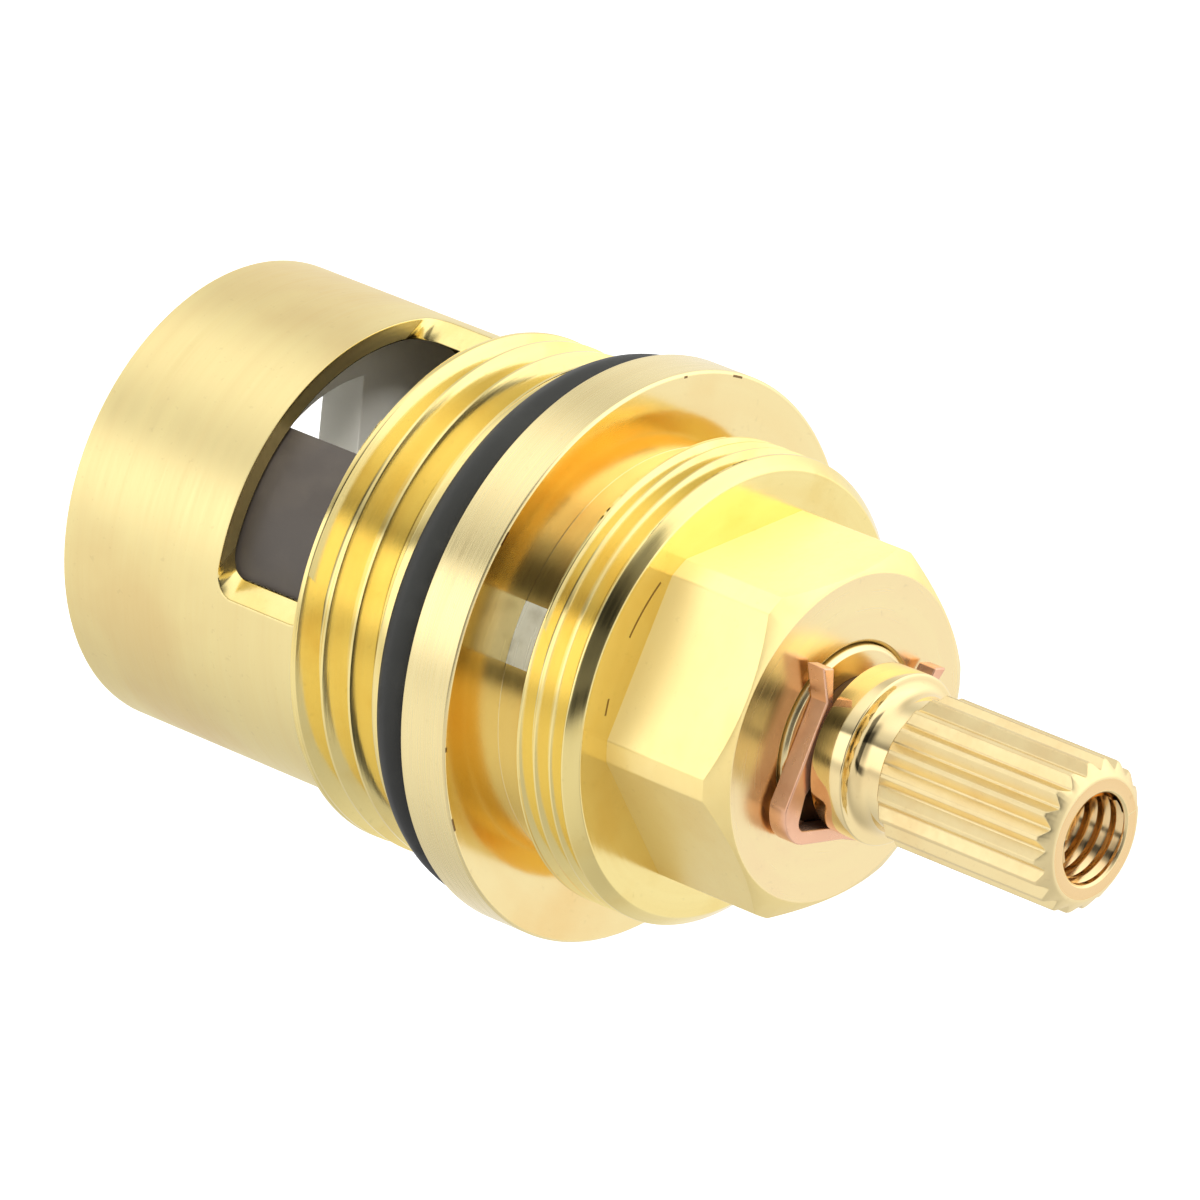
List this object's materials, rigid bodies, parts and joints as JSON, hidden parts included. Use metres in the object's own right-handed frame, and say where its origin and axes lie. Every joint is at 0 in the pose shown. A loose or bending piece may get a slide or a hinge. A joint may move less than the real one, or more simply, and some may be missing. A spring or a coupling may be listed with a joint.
{
  "type": "ceramic disc tap cartridge",
  "caption": "Quarter-turn tap headwork: windowed brass cup, threaded collar with flange and O-ring, hexagon and splined stem.",
  "frame": {"origin": "on the spindle's axis, level with the lowest edge of the inlet seal's lip", "axes": "+Z along the spindle's axis from the inlet to the splined stem, +X through the middle of one outlet window"},
  "size_m": [0.0294, 0.0294, 0.0574],
  "materials": {
    "headwork_body": "turned brass, satin on the cup, bright on the threads",
    "body_oring": "smooth black nitrile rubber",
    "spindle": "turned and rolled brass",
    "retaining_clip": "stamped copper-coloured spring strip",
    "spindle_oring_upper": "smooth black nitrile rubber",
    "spindle_oring_lower": "smooth black nitrile rubber",
    "glide_washer": "low-friction plastic",
    "moving_disc": "dark technical ceramic, matte round its edge, lapped on its face",
    "fixed_disc": "pale technical ceramic, matte round its edge, lapped on its faces",
    "inlet_seal": "moulded black rubber",
    "seal_backing_ring": "moulded plastic"
  },
  "bodies": {
    "housing": {"headwork_body": "headwork_body", "body_oring": "body_oring", "glide_washer": "glide_washer", "fixed_disc": "fixed_disc", "inlet_seal": "inlet_seal", "seal_backing_ring": "seal_backing_ring"},
    "rotor": {"spindle": "spindle", "retaining_clip": "retaining_clip", "spindle_oring_upper": "spindle_oring_upper", "spindle_oring_lower": "spindle_oring_lower", "moving_disc": "moving_disc"}
  },
  "joints": [
    {"name": "spindle_turn", "type": "hinge", "parent": "housing", "child": "rotor", "pos_m": [0, 0, 0.03], "axis": [0, 0, 1], "range_deg": [-48, 42]}
  ]
}
